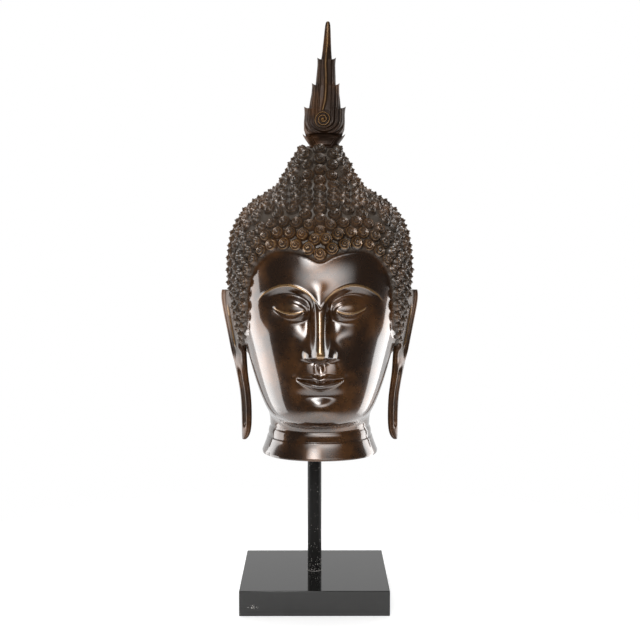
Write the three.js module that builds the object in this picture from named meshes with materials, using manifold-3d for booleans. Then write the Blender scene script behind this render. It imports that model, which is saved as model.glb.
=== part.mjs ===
// A cast bronze head of a Buddha with a flame finial, held up by a rod on a square base.
// Millimetres, +Z up, the face looks towards -Y. The origin is under the middle of the base.

import * as THREE from 'three';
import { mergeVertices } from 'three/addons/utils/BufferGeometryUtils.js';
import Module from 'manifold-3d';

const wasm = await Module();
wasm.setup();

// Base: a lacquered square block.
const baseWidth = 152.4;
const baseDepth = 152.4;
const baseThickness = 25.9;
const baseEdgeRadius = 1;

// Rod: a round bar let into the base below and into the neck above.
const rodDiameter = 14.6;
const rodSides = 24;
const rodSeatInBase = 14;
const rodShowing = 128.8;
const rodSeatInHead = 40;
const seatClearance = 0.3;

// Head: its carving is drawn at the height of its table of levels and keeps its proportion to headHeight.
const headHeight = 318.8;
const headAcross = 5.6;
const neckRecess = 4;
const neckWall = 7;

// Hair: rows of snail-shell curls standing on a thin cap.
const hairCap = 2.6;
const curlHeight = 6.2;
const curlRowPitch = 12.6;
const curlColumnPitch = 13.5;
const edgeBurial = 3.5;
const deepBurial = 14;

// Finial: a flame with pointed tongues at its sides, leaning a little to its left.
const finialHeight = 132.1;
const finialFootWidth = 29;
const finialAcross = 3.9;
const finialLean = 2;
const finialThickness = 0.7;

// Heights that follow from the ones above.
const headFoot = baseThickness + rodShowing;
const crownHeight = headFoot + headHeight;

// Materials

const bronze = new THREE.MeshStandardMaterial({ color: 0x3b2314, roughness: 0.28, metalness: 0.9 });
const blackMetal = new THREE.MeshStandardMaterial({ color: 0x161514, roughness: 0.35, metalness: 0.6 });
const blackLacquer = new THREE.MeshStandardMaterial({ color: 0x2a2928, roughness: 0.3, metalness: 0 });

// Solids, joins and cuts

function solidOf(geometry) {
  const bare = geometry.clone();
  bare.deleteAttribute('normal');
  bare.deleteAttribute('uv');
  const merged = mergeVertices(bare, 1e-4);
  return new wasm.Manifold(new wasm.Mesh({
    numProp: 3,
    vertProperties: new Float32Array(merged.attributes.position.array),
    triVerts: new Uint32Array(merged.index.array),
  }));
}

function geometryOf(solid) {
  const { vertProperties, triVerts } = solid.getMesh();
  const geometry = new THREE.BufferGeometry();
  geometry.setAttribute('position', new THREE.BufferAttribute(vertProperties, 3));
  geometry.setIndex(new THREE.BufferAttribute(triVerts, 1));
  geometry.computeVertexNormals();
  return geometry;
}

function upright(radius, bottom, top, x = 0) {
  const cylinder = new THREE.CylinderGeometry(radius, radius, top - bottom, rodSides);
  return cylinder.rotateX(Math.PI / 2).translate(x, 0, (bottom + top) / 2);
}

// Closes a stack of rings into one skin. Each ring is a list of { turn, at }, where turn goes from 0 to 1
// round the axis, and the rings are in order from the lowest to the highest.
function stackRings(rings) {
  const points = [];
  const faces = [];
  const starts = rings.map((ring) => {
    const start = points.length;
    ring.forEach(({ at }) => points.push(at));
    return start;
  });
  for (let k = 0; k + 1 < rings.length; k += 1) {
    const [low, high] = [rings[k], rings[k + 1]];
    const lowAt = (i) => starts[k] + (i % low.length);
    const highAt = (j) => starts[k + 1] + (j % high.length);
    const turnOf = (ring, i) => ring[i % ring.length].turn + Math.floor(i / ring.length);
    let i = 0;
    let j = 0;
    while (i < low.length || j < high.length) {
      const lowFirst = j === high.length || (i < low.length && turnOf(low, i + 1) <= turnOf(high, j + 1));
      if (lowFirst) {
        faces.push([lowAt(i), lowAt(i + 1), highAt(j)]);
        i += 1;
      } else {
        faces.push([lowAt(i), highAt(j + 1), highAt(j)]);
        j += 1;
      }
    }
  }
  const closeEnd = (ring, start, upwards) => {
    const middle = ring.reduce((sum, { at }) => sum.add(at), new THREE.Vector3()).divideScalar(ring.length);
    points.push(middle);
    ring.forEach((_, i) => {
      const next = start + ((i + 1) % ring.length);
      faces.push(upwards ? [points.length - 1, start + i, next] : [points.length - 1, next, start + i]);
    });
  };
  closeEnd(rings[0], starts[0], false);
  closeEnd(rings.at(-1), starts.at(-1), true);
  const geometry = new THREE.BufferGeometry();
  geometry.setAttribute('position', new THREE.Float32BufferAttribute(points.flatMap((p) => p.toArray()), 3));
  geometry.setIndex(faces.flat());
  return geometry;
}

// Curves

// A smooth curve through a table's rows, led by them as by a spline's handles; place runs from 0 to rows - 1.
function alongTable(rows, place) {
  const last = rows.length - 1;
  const span = Math.min(Math.floor(place), last - 1);
  const t = place - span;
  const rowAt = (i) => {
    if (i < 0) return rows[0].map((value, c) => 2 * value - rows[1][c]);
    if (i > last) return rows[last].map((value, c) => 2 * value - rows[last - 1][c]);
    return rows[i];
  };
  const weights = [
    (1 - t) ** 3,
    3 * t ** 3 - 6 * t ** 2 + 4,
    -3 * t ** 3 + 3 * t ** 2 + 3 * t + 1,
    t ** 3,
  ];
  return rows[0].map((_, c) => weights.reduce((sum, w, i) => sum + w * rowAt(span - 1 + i)[c], 0) / 6);
}

// The value at x of a line through [x, value] pairs, eased at each pair.
function easedLine(pairs, x) {
  if (x <= pairs[0][0]) return pairs[0][1];
  for (let i = 1; i < pairs.length; i += 1) {
    if (x <= pairs[i][0]) {
      const [x0, y0] = pairs[i - 1];
      const [x1, y1] = pairs[i];
      const slope = (a, b) => (b[1] - a[1]) / (b[0] - a[0]);
      const m0 = i > 1 ? (slope(pairs[i - 2], pairs[i - 1]) + slope(pairs[i - 1], pairs[i])) / 2 : 0;
      const m1 = i + 1 < pairs.length ? (slope(pairs[i - 1], pairs[i]) + slope(pairs[i], pairs[i + 1])) / 2 : 0;
      const w = x1 - x0;
      const t = (x - x0) / w;
      return (2 * t ** 3 - 3 * t ** 2 + 1) * y0 + (t ** 3 - 2 * t ** 2 + t) * w * m0
        + (3 * t ** 2 - 2 * t ** 3) * y1 + (t ** 3 - t ** 2) * w * m1;
    }
  }
  return pairs.at(-1)[1];
}

const hill = (x, centre, width) => Math.exp(-(((x - centre) / width) ** 2));
const step = (x, from, to) => THREE.MathUtils.smoothstep(x, from, to);

// Head form. Each row is one level of the bare head, without hair or features, from the neck's cut to the crown:
// height above the cut, rise towards the back, middle's distance behind the axis, half width, front, back.
const headLevels = [
  [0, 0, 0, 60.6, 62, 62],
  [9, 0, 0, 57, 59, 59],
  [17.5, 0, 0, 54, 56.5, 57],
  [25, 0, 0, 52.4, 55.5, 56],
  [34, 0.03, 0, 52.3, 57, 57],
  [43, 0.1, 0, 53.5, 65, 60],
  [51, 0.16, 0, 56, 84, 66],
  [60, 0.17, 0, 60, 96, 72],
  [72, 0.15, 0, 65, 98.5, 80],
  [88, 0.11, 0, 70.5, 99, 88],
  [108, 0.06, 0, 76, 100, 96],
  [131, 0.02, 0, 81.5, 100, 101],
  [154, 0, 0, 87, 99.5, 103.5],
  [176, 0, 0, 90, 99, 104],
  [198, 0, 0, 91.2, 97, 102],
  [219, 0, 1, 89.4, 93, 96],
  [237, 0, 2, 84.8, 86, 87],
  [252, 0, 3, 75.8, 75.8, 76],
  [263, 0, 4, 61, 61, 61],
  [272, 0, 5, 45, 45, 45],
  [282, 0, 5, 36.4, 36.4, 36.4],
  [294, 0, 5, 30.8, 30.8, 30.8],
  [306, 0, 5, 23.8, 23.8, 23.8],
  [315.5, 0, 5, 18.3, 18.3, 18.3],
  [318.8, 0, 5, 15.4, 15.4, 15.4],
];
const faceFullness = 0.1;
const crownPlace = headLevels.length - 1;
const drawnHeight = headLevels[crownPlace][0];
const carving = headHeight / drawnHeight;
const crownBack = headLevels[crownPlace][2] * carving;

// The bare head's surface: angle is 0 at the front and grows towards +X, place follows headLevels.
function bareHead(angle, place) {
  const [height, rise, middle, halfWidth, front, back] = alongTable(headLevels, place);
  const sine = Math.sin(angle);
  const cosine = Math.cos(angle);
  const depth = cosine > 0 ? front * (1 + faceFullness * sine ** 2) : back;
  const y = middle - depth * cosine;
  return new THREE.Vector3(halfWidth * sine, y, height + rise * y);
}

function bareNormal(angle, place) {
  const small = 1e-3;
  const inside = Math.min(Math.max(place, small), crownPlace - small);
  const around = bareHead(angle + small, inside).sub(bareHead(angle - small, inside));
  const upwards = bareHead(angle, inside + small).sub(bareHead(angle, inside - small));
  return around.cross(upwards).normalize();
}

// Face. The proportions are the drawing books': eyes half way up from chin to crown, thirds from brow to nose
// to chin, the head five eyes wide and the mouth's line a third of the way from nose to chin.
const chinHeight = 43;
const faceLength = 0.715 * drawnHeight;
const third = faceLength / 3.5;
const noseFoot = chinHeight + third;
const browHeight = chinHeight + 2 * third;
const eyeHeight = chinHeight + faceLength / 2;
const mouthHeight = noseFoot - third / 3;
const eyeWidth = (faceLength * 2) / 3 / 5;
const eyeMiddle = eyeWidth;
const mouthHalf = 0.8 * eyeWidth;
const noseHalf = 0.53 * eyeWidth;

const browCurve = [[0, -16], [4, -10], [10, -3], [20, 3.5], [32, 6.5], [45, 4], [56, -2.5], [66, -12]];
const socketDepth = [[6, 0], [12, 6.5], [22, 6], [36, 4.5], [50, 2.5], [66, 0]];
const noseRidge = [
  [-7, 0], [-3, 4], [0, 14], [3, 19.5], [7, 21.5], [12, 20], [22, 15.8],
  [34, 11.4], [46, 7.6], [56, 5], [66, 2.6], [78, 0],
];

function eyes(x, height) {
  const below = browHeight + easedLine(browCurve, x) - height;
  const socket = -easedLine(socketDepth, x) * step(below, -1, 7) * (1 - step(below, 19, 42));
  const brow = 1.2 * hill(below, 0, 2.4) * (1 - step(x, 52, 66));
  const lid = 6 * Math.max(0, 1 - ((x - eyeMiddle) / 20) ** 2 - ((height - eyeHeight + 2) / 13) ** 2);
  const lidEdge = eyeHeight - 5 - 3.5 * Math.max(0, 1 - ((x - eyeMiddle) / 16) ** 2);
  const slit = -1.6 * hill(height, lidEdge, 1.8) * (1 - step(Math.abs(x - eyeMiddle), 12, 17));
  return socket + brow + lid + slit;
}

function nose(x, height) {
  const above = height - noseFoot;
  const half = easedLine([[-8, 9], [4, 12.5], [24, 11.5], [44, 10], [60, 9]], above);
  const bridge = easedLine(noseRidge, above) * (1 - step(x / half, 0.12, 1.05));
  const wing = 11 * Math.max(0, 1 - ((x - 0.68 * noseHalf) / (0.42 * noseHalf)) ** 2 - ((above - 4) / 7) ** 2);
  return Math.max(bridge, wing);
}

function mouth(x, height) {
  const line = mouthHeight + 2 * (x / mouthHalf) ** 2;
  const shut = Math.max(0, 1 - (x / mouthHalf) ** 2);
  const above = height - line;
  const upper = 7.5 * shut ** 0.8 - 1.3 * hill(x, 0, 3.5);
  const lower = 9 * shut ** 0.7;
  const swell = (share) => (share > 0 && share < 1 ? Math.sin(Math.PI * share) ** 0.8 : 0);
  const lips = 3 * swell(above / Math.max(upper, 0.1)) + 4 * swell(-above / Math.max(lower, 0.1));
  const muzzle = 4.5 * hill(x, 0, 26) * hill(height, mouthHeight + 2, 16);
  const line2 = -1.5 * hill(above, 0, 1.5) * shut;
  const hollow = -2.4 * hill(x, 0, 17) * hill(height, mouthHeight - 15, 5.5);
  const philtrum = -1 * hill(x, 0, 3) * hill(height, mouthHeight + 13, 5);
  return lips * shut ** 0.4 + muzzle + line2 + hollow + philtrum;
}

function flesh(x, height) {
  const chin = 3.2 * hill(x, 0, 16) * hill(height, chinHeight + 15, 11);
  const cheek = 2.4 * hill(x, 44, 20) * hill(height, noseFoot + 8, 22);
  return chin + cheek;
}

// How far the features stand in front of the bare head.
function relief(x, height) {
  const side = Math.abs(x);
  return eyes(side, height) + nose(side, height) + mouth(side, height) + flesh(side, height);
}

// How far the collar and the fold above it stand out from the bare neck.
const collarTop = 17.2;
const foldMiddle = 23;
const foldTop = 28.5;

function neckRelief(height) {
  const collar = 0.9 * (1 - step(height, collarTop - 0.4, collarTop + 0.6));
  const fold = 1.6 * hill(height, foldMiddle, 4) - hill(height, foldTop, 1.3);
  return collar + fold;
}

function carvedHead(angle, place) {
  const point = bareHead(angle, place);
  const height = point.z;
  const facing = Math.cos(angle);
  if (facing > 0 && height > chinHeight - 15) point.y -= relief(point.x, height) * step(facing, 0.1, 0.5);
  return point.addScaledVector(bareNormal(angle, place), neckRelief(height));
}

function headSkin() {
  const frontAngles = [0, 2.8, 5.4, 8, 11, 14.5, 18.5, 23, 28, 33, 39, 46, 54, 65, 80, 99, 123, 151, 180];
  const turns = [
    ...frontAngles.slice(0, -1),
    ...frontAngles.slice(1).reverse().map((degrees) => 360 - degrees),
  ].map((degrees) => degrees / 360);
  const places = [0, 0.9, 1.9, 2.08, 2.7, 3.25, 3.4, 3.6, 4.4, 5.2];
  for (let place = 6; place < 13.8; place += 0.3) places.push(place);
  for (let place = 14.4; place < crownPlace; place += 3) places.push(place);
  places.push(crownPlace);
  return stackRings(places.map((place) => turns.map((turn) => (
    { turn, at: carvedHead(turn * 2 * Math.PI, place) }
  ))));
}

// Hair

// Height of the hair's edge above the neck's cut, against degrees round from the front.
const hairEdge = [
  [0, 204], [9, 210], [18, 213.5], [30, 213], [40, 204], [48, 189], [53, 171], [57, 151],
  [65, 131], [76, 118], [95, 109], [120, 81], [150, 61], [180, 55],
];

function hairEdgeAt(angle) {
  const degrees = THREE.MathUtils.radToDeg(Math.abs(Math.atan2(Math.sin(angle), Math.cos(angle))));
  return easedLine(hairEdge, degrees);
}

// The place on a meridian that lies a given length down from the crown.
function placeDownFromCrown(angle, length) {
  const stride = 0.05;
  let place = crownPlace;
  let passed = 0;
  let point = bareHead(angle, place);
  while (passed < length && place > stride) {
    const next = bareHead(angle, place - stride);
    passed += next.distanceTo(point);
    place -= stride;
    point = next;
  }
  return place;
}

// Rings go down in half rows: every second column has its curls on the even ones, the others on the odd ones.
// A curl is a point over its own tile, and the tiles meet in valleys.
function hairRings() {
  const rings = [];
  let columns = 0;
  const halfRow = curlRowPitch / 2;
  const nape = 300;
  const tile = 0.55;
  for (let row = 0; row * halfRow < nape; row += 1) {
    const length = 4 + row * halfRow;
    const radius = alongTable(headLevels, placeDownFromCrown(Math.PI / 2, length))[3];
    const around = 2 * Math.PI * (radius + hairCap);
    if (around / Math.max(columns, 1) > 1.12 * curlColumnPitch) {
      columns = 2 * Math.round(around / (1.92 * curlColumnPitch));
    }
    const ring = [];
    for (let column = 0; column < columns; column += 2) {
      if (row % 2 === 0) {
        ring.push({ column, crest: true }, { column: column + tile }, { column: column + 2 - tile });
      } else {
        ring.push({ column: column + 1 - tile }, { column: column + 1, crest: true }, { column: column + 1 + tile });
      }
    }
    const last = (row + 1) * halfRow >= nape;
    rings.unshift(ring.map(({ column, crest }) => {
      const turn = column / columns;
      const angle = turn * 2 * Math.PI;
      const place = placeDownFromCrown(angle, length);
      const point = bareHead(angle, place);
      const belowEdge = hairEdgeAt(angle) + (crest ? 2 : 0) - point.z;
      const buried = Math.min(deepBurial, edgeBurial + 0.4 * belowEdge);
      const standing = belowEdge > 0 || last ? -buried : hairCap + (crest ? curlHeight : 0);
      point.addScaledVector(bareNormal(angle, place), standing);
      return { turn, at: point };
    }));
  }
  return rings;
}

// Ears. Each row is one level of the right ear: height above the neck's cut, distance out, distance back,
// half width, half thickness and the degrees by which its back edge is turned outwards.
const earLevels = [
  [12, 79.3, -1, 2, 1.8, 40],
  [16, 78.3, -1, 5, 2.8, 40],
  [23, 77.4, -1, 6.6, 3, 40],
  [38, 77.3, -1, 7.2, 3.1, 40],
  [73, 80.4, -0.5, 7.8, 3.2, 38],
  [85, 82.4, 0.5, 9, 3.4, 35],
  [98, 84.4, 2.5, 11.8, 3.8, 32],
  [111, 86.2, 5, 14.6, 4.2, 30],
  [123, 88.3, 6.5, 16.2, 4.4, 28],
  [138, 90.9, 8, 17.4, 4.5, 28],
  [153, 93.7, 9, 18.2, 4.5, 28],
  [163, 95, 9.5, 17.8, 4.5, 28],
  [169, 95.3, 9.5, 15.5, 3.8, 28],
];
const earHollow = 2.6;

function ear() {
  const outline = 12;
  const rings = earLevels.map(([height, out, behind, halfWidth, halfThickness, flare]) => {
    const turned = THREE.MathUtils.degToRad(flare);
    const ring = [];
    for (let i = 0; i < outline; i += 1) {
      const turn = i / outline;
      const angle = turn * 2 * Math.PI;
      const along = -halfWidth * Math.cos(angle);
      const share = Math.abs(along / halfWidth);
      const outside = Math.sin(angle) > 0;
      const hollow = outside ? earHollow * Math.max(0, 1 - (share / 0.7) ** 2) : 0;
      const across = halfThickness * Math.sign(Math.sin(angle)) * Math.abs(Math.sin(angle)) ** 0.6 - hollow;
      ring.push({
        turn,
        at: new THREE.Vector3(
          out + along * Math.sin(turned) + across * Math.cos(turned),
          behind + along * Math.cos(turned) - across * Math.sin(turned),
          height,
        ),
      });
    }
    return ring;
  });
  return stackRings(rings);
}

// Head: the skin, the hair and both ears in one casting, hollowed at the neck's cut and bored for the rod.
// The hair is dressed flat at the crown, where the finial stands.
function head() {
  const skin = solidOf(headSkin());
  const aboveCrown = new THREE.BoxGeometry(6 * curlColumnPitch, 6 * curlColumnPitch, drawnHeight)
    .translate(0, 0, 1.5 * drawnHeight);
  const hair = solidOf(stackRings(hairRings())).subtract(solidOf(aboveCrown));
  const rightEar = solidOf(ear());
  const leftEar = rightEar.mirror([1, 0, 0]);
  const carved = skin.add(hair).add(rightEar).add(leftEar).scale(carving);
  const [, , , cutHalfWidth, cutFront] = headLevels[0].map((value) => value * carving);
  const recess = new THREE.CylinderGeometry(1, 1, 2 * neckRecess, 36).rotateX(Math.PI / 2)
    .scale(cutHalfWidth - neckWall, cutFront - neckWall, 1);
  const socket = upright(
    rodDiameter / 2 + seatClearance, 0, neckRecess + rodSeatInHead, -headAcross,
  );
  const geometry = geometryOf(carved.subtract(solidOf(recess)).subtract(solidOf(socket)));
  const mesh = new THREE.Mesh(geometry, bronze);
  mesh.name = 'head';
  mesh.position.set(headAcross, 0, headFoot);
  return mesh;
}

// Finial. Each row is one level of the flame: height, half width and half depth, as shares of its height
// and of half its foot's width. Where the width jumps back, a pair of tongues ends in its points.
const flameLevels = [
  [0, 1, 1],
  [0.05, 1.15, 0.98],
  [0.113, 1.53, 0.98],
  [0.117, 1.24, 0.98],
  [0.15, 1.38, 1.06],
  [0.21, 1.47, 1.12],
  [0.28, 1.45, 1.12],
  [0.326, 1.51, 1.08],
  [0.331, 1.15, 1.06],
  [0.38, 1.08, 1],
  [0.45, 1, 0.92],
  [0.517, 1.02, 0.84],
  [0.522, 0.75, 0.82],
  [0.6, 0.69, 0.72],
  [0.68, 0.63, 0.62],
  [0.715, 0.67, 0.58],
  [0.72, 0.39, 0.56],
  [0.79, 0.31, 0.4],
  [0.87, 0.25, 0.3],
  [0.98, 0.14, 0.15],
  [1, 0.06, 0.06],
];
const flameGrooves = 5;
const flameGrooveDepth = 0.07;
const flameSag = 0.07;
const voluteHeight = 0.225;
const voluteRadius = 0.28 * finialFootWidth;
const voluteRise = 0.07 * finialFootWidth;

function finial() {
  const outline = 24;
  const halfFoot = finialFootWidth / 2;
  const lean = Math.tan(THREE.MathUtils.degToRad(finialLean));
  const rings = flameLevels.map(([height, halfWidth, halfDepth]) => {
    const carved = step(height, 0.117, 0.3) * (1 - step(height, 0.82, 1));
    const ring = [];
    for (let i = 0; i < outline; i += 1) {
      const turn = i / outline;
      const angle = turn * 2 * Math.PI;
      const x = Math.sin(angle);
      const groove = 1 - flameGrooveDepth * carved * (1 - Math.cos(2 * Math.PI * flameGrooves * x)) / 2;
      const level = height - flameSag * carved * (1 - x ** 2);
      ring.push({
        turn,
        at: new THREE.Vector3(
          halfFoot * halfWidth * x + lean * level * finialHeight,
          -halfFoot * halfDepth * finialThickness * 1.15 * groove * Math.cos(angle),
          level * finialHeight,
        ),
      });
    }
    return ring;
  });
  const halfThickness = halfFoot * finialThickness * 1.25;
  const volute = new THREE.SphereGeometry(1, 12, 6).scale(voluteRadius, halfThickness + voluteRise, voluteRadius)
    .translate(lean * voluteHeight * finialHeight, 0, voluteHeight * finialHeight);
  const flame = solidOf(stackRings(rings)).add(solidOf(volute));
  const mesh = new THREE.Mesh(geometryOf(flame), bronze);
  mesh.name = 'flame_finial';
  mesh.position.set(headAcross + finialAcross, crownBack, crownHeight + seatClearance);
  return mesh;
}

// Stand

function rod() {
  const bottom = baseThickness - rodSeatInBase + seatClearance;
  const top = headFoot + neckRecess + rodSeatInHead - seatClearance;
  const mesh = new THREE.Mesh(upright(rodDiameter / 2, bottom, top), blackMetal);
  mesh.name = 'rod';
  return mesh;
}

function base() {
  const halfWidth = baseWidth / 2 - baseEdgeRadius;
  const halfDepth = baseDepth / 2 - baseEdgeRadius;
  const outline = new THREE.Shape();
  outline.moveTo(-halfWidth, -halfDepth);
  outline.lineTo(halfWidth, -halfDepth);
  outline.lineTo(halfWidth, halfDepth);
  outline.lineTo(-halfWidth, halfDepth);
  outline.closePath();
  const block = new THREE.ExtrudeGeometry(outline, {
    depth: baseThickness - 2 * baseEdgeRadius,
    bevelThickness: baseEdgeRadius,
    bevelSize: baseEdgeRadius,
    bevelSegments: 2,
  }).translate(0, 0, baseEdgeRadius);
  const seat = upright(rodDiameter / 2 + seatClearance, baseThickness - rodSeatInBase, baseThickness + 5);
  const mesh = new THREE.Mesh(geometryOf(solidOf(block).subtract(solidOf(seat))), blackLacquer);
  mesh.name = 'base';
  return mesh;
}

const object = new THREE.Group();
object.add(base(), rod(), head(), finial());

export default object;
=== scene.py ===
import bpy
import math
import numpy as np
from mathutils import Matrix, Vector


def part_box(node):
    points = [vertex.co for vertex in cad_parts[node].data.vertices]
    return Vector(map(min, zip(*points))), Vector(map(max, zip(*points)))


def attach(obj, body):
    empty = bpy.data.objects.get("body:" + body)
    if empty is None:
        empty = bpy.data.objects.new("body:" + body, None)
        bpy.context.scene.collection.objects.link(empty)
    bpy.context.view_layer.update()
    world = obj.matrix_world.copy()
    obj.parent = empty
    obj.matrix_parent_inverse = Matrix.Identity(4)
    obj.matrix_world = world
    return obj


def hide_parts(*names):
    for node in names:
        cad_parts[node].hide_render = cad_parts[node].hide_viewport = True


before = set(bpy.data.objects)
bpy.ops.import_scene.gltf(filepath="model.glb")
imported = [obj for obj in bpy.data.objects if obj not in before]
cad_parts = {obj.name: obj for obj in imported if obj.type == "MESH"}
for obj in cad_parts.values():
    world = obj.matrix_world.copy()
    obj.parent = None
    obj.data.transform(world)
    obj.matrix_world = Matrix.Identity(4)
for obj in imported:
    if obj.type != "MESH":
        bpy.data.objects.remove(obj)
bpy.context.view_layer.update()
mm = 0.001

# Base
# A square block of wood, lacquered satin black, that the rod is let into. Its edges are only just broken,
# and a few white chips show along the lower left of its front, where the lacquer was knocked off.
base_low, base_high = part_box("base")
edge_break = 0.9 * mm
smallest_side = 100 * mm**2
chips_across = -0.0625
chips_up = 0.0095


class Tap:
    """One output of a material's nodes, which Python's operators combine through Math nodes."""

    def __init__(self, nodes, socket):
        self.nodes = nodes
        self.socket = socket

    def reckon(self, operation, first, second):
        return self.nodes.node("Math", {"operation": operation}, {0: first, 1: second})

    def __add__(self, other):
        return self.reckon("ADD", self, other)

    def __radd__(self, other):
        return self.reckon("ADD", other, self)

    def __sub__(self, other):
        return self.reckon("SUBTRACT", self, other)

    def __rsub__(self, other):
        return self.reckon("SUBTRACT", other, self)

    def __mul__(self, other):
        return self.reckon("MULTIPLY", self, other)

    def __rmul__(self, other):
        return self.reckon("MULTIPLY", other, self)

    def __pow__(self, other):
        return self.reckon("POWER", self, other)


class Nodes:
    """A tree of nodes, of a material, a light or the world. node adds any node."""

    def __init__(self, tree):
        self.tree = tree

    def node(self, kind, settings=None, inputs=None, output=0):
        made = self.tree.nodes.new("ShaderNode" + kind)
        for key, value in (settings or {}).items():
            setattr(made, key, value)
        for key, value in (inputs or {}).items():
            self.plug(made.inputs[key], value)
        return Tap(self, made.outputs[output])

    def plug(self, socket, value):
        if isinstance(value, Tap):
            self.tree.links.new(value.socket, socket)
        else:
            socket.default_value = value

    def rise(self, value, low, high, below=0.0, above=1.0):
        """below where value is under low, above where it is over high, and eased between."""
        return self.node("MapRange", {"interpolation_type": "SMOOTHSTEP"}, {
            "Value": value, "From Min": low, "From Max": high, "To Min": below, "To Max": above,
        })


class Shader(Nodes):
    """A material on one Principled BSDF, whose inputs finish sets or links."""

    def __init__(self, name):
        self.material = bpy.data.materials.new(name)
        self.material.use_nodes = True
        self.surface = self.material.node_tree.nodes["Principled BSDF"]
        super().__init__(self.material.node_tree)

    def place(self, axis=None):
        at = self.node("TexCoord", output="Object")
        return self.node("SeparateXYZ", inputs={0: at}, output=axis) if axis else at

    def noise(self, size, detail=2.0, roughness=0.5, stretch=(1, 1, 1)):
        """Noise round 0.5 whose patches are about size metres across."""
        at = self.node("Mapping", inputs={"Vector": self.place(), "Scale": stretch})
        return self.node("TexNoise", inputs={
            "Vector": at, "Scale": 1 / size, "Detail": detail, "Roughness": roughness,
        })

    def mix(self, share, below, above):
        """The colour below where share is 0, and above where it is 1."""
        return self.node("Mix", {"data_type": "RGBA"}, {0: share, 6: below, 7: above}, output=2)

    def attribute(self, name):
        return self.node("Attribute", {"attribute_name": name}, output="Fac")

    def bump(self, height, distance, strength=1.0):
        return self.node("Bump", inputs={"Height": height, "Distance": distance, "Strength": strength})

    def finish(self, **inputs):
        for key, value in inputs.items():
            self.plug(self.surface.inputs[key.replace("_", " ")], value)
        return self.material


def pick(piece):
    if bpy.context.object and bpy.context.object.mode != "OBJECT":
        bpy.ops.object.mode_set(mode="OBJECT")
    bpy.ops.object.select_all(action="DESELECT")
    piece.select_set(True)
    bpy.context.view_layer.objects.active = piece


def apply_modifiers(piece):
    pick(piece)
    for modifier in list(piece.modifiers):
        bpy.ops.object.modifier_apply(modifier=modifier.name)


def settle(piece, name, material, node=None):
    """Leaves the piece at the origin with its place in its mesh, and names, finishes and fixes it."""
    pick(piece)
    bpy.ops.object.transform_apply(location=True, rotation=True, scale=True)
    piece.name = name
    piece.data.name = name
    piece.data.materials.clear()
    piece.data.materials.append(material)
    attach(piece, "root")
    if node:
        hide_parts(node)


def black_lacquer():
    shader = Shader("black_lacquer")
    x = shader.place("X")
    z = shader.place("Z")
    cloud = shader.noise(0.03, 4)
    grain = shader.noise(0.0012, 3)
    on_front = shader.rise(shader.place("Y"), base_low.y + 6.2 * mm, base_low.y + 2.2 * mm)
    near_middle = shader.rise((x - chips_across) ** 2 + 7 * (z - chips_up) ** 2, 0.00004, 0.00001)
    near_edge = shader.rise(x, base_low.x + 1.7 * mm, base_low.x)
    scattered = shader.rise(shader.noise(0.0012, 0), 0.62, 0.64) * near_middle
    along_edge = shader.rise(shader.noise(0.0016, 1), 0.68, 0.7) * near_edge
    chips = on_front * (scattered + along_edge)
    black = shader.mix(cloud, (0.014, 0.0138, 0.0132, 1), (0.024, 0.0235, 0.0225, 1))
    return shader.finish(
        Base_Color=shader.mix(chips, black, (0.62, 0.6, 0.56, 1)),
        Roughness=0.05 + 0.03 * cloud + 0.02 * grain,
        Specular_IOR_Level=0.44,
        Normal=shader.bump(grain - 0.6 * chips, 0.0002, 0.06),
    )


bpy.ops.object.select_all(action="DESELECT")
bpy.ops.mesh.primitive_cube_add(size=1, location=(base_low + base_high) / 2)
block = bpy.context.object
block.scale = base_high - base_low
bpy.ops.object.transform_apply(location=True, rotation=True, scale=True)
edge = block.modifiers.new("broken edges", "BEVEL")
edge.width = edge_break
edge.segments = 3
apply_modifiers(block)
for side in block.data.polygons:
    side.use_smooth = side.area < smallest_side
settle(block, "lacquered_base", black_lacquer(), "base")

# Rod
# A round steel bar, painted black by hand. It is let into the block, where a thin pale ring shows round it,
# and paint has flaked off in specks just above.
ring_width = 0.5 * mm
ring_rise = 0.35 * mm
end_break = 0.5 * mm


def rod_paint(foot):
    shader = Shader("rod_paint")
    z = shader.place("Z")
    brushing = shader.noise(0.0015, 3, stretch=(1, 1, 0.12))
    cloud = shader.noise(0.012, 3)
    near_foot = shader.rise(z, foot + 18 * mm, foot + 11 * mm)
    flakes = shader.rise(shader.noise(0.001, 0) + 0.1 * near_foot, 0.8, 0.83)
    black = shader.mix(cloud, (0.011, 0.0106, 0.01, 1), (0.02, 0.019, 0.018, 1))
    return shader.finish(
        Base_Color=shader.mix(flakes, black, (0.7, 0.68, 0.64, 1)),
        Roughness=0.42 + 0.1 * brushing,
        Specular_IOR_Level=0.14,
        Normal=shader.bump(brushing - 0.5 * flakes, 0.0003, 0.25),
    )


# A pale grey, grainy, matt finish for the thin ring round the rod's foot.
def pale_ring_finish():
    shader = Shader("pale_ring")
    crumb = shader.noise(0.0008, 3)
    return shader.finish(
        Base_Color=shader.mix(crumb, (0.16, 0.155, 0.145, 1), (0.5, 0.48, 0.45, 1)),
        Roughness=0.7,
        Normal=shader.bump(crumb, 0.0002, 0.5),
    )


rod_low, rod_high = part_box("rod")
rod_radius = (rod_high.x - rod_low.x) / 2
bpy.ops.object.select_all(action="DESELECT")
bpy.ops.mesh.primitive_cylinder_add(
    vertices=96, radius=rod_radius, depth=rod_high.z - rod_low.z, location=(rod_low + rod_high) / 2,
)
bar = bpy.context.object
end = bar.modifiers.new("turned ends", "BEVEL")
end.width = end_break
end.segments = 2
apply_modifiers(bar)
bpy.ops.object.shade_smooth_by_angle(angle=math.radians(40))
settle(bar, "painted_rod", rod_paint(base_high.z), "rod")

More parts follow.
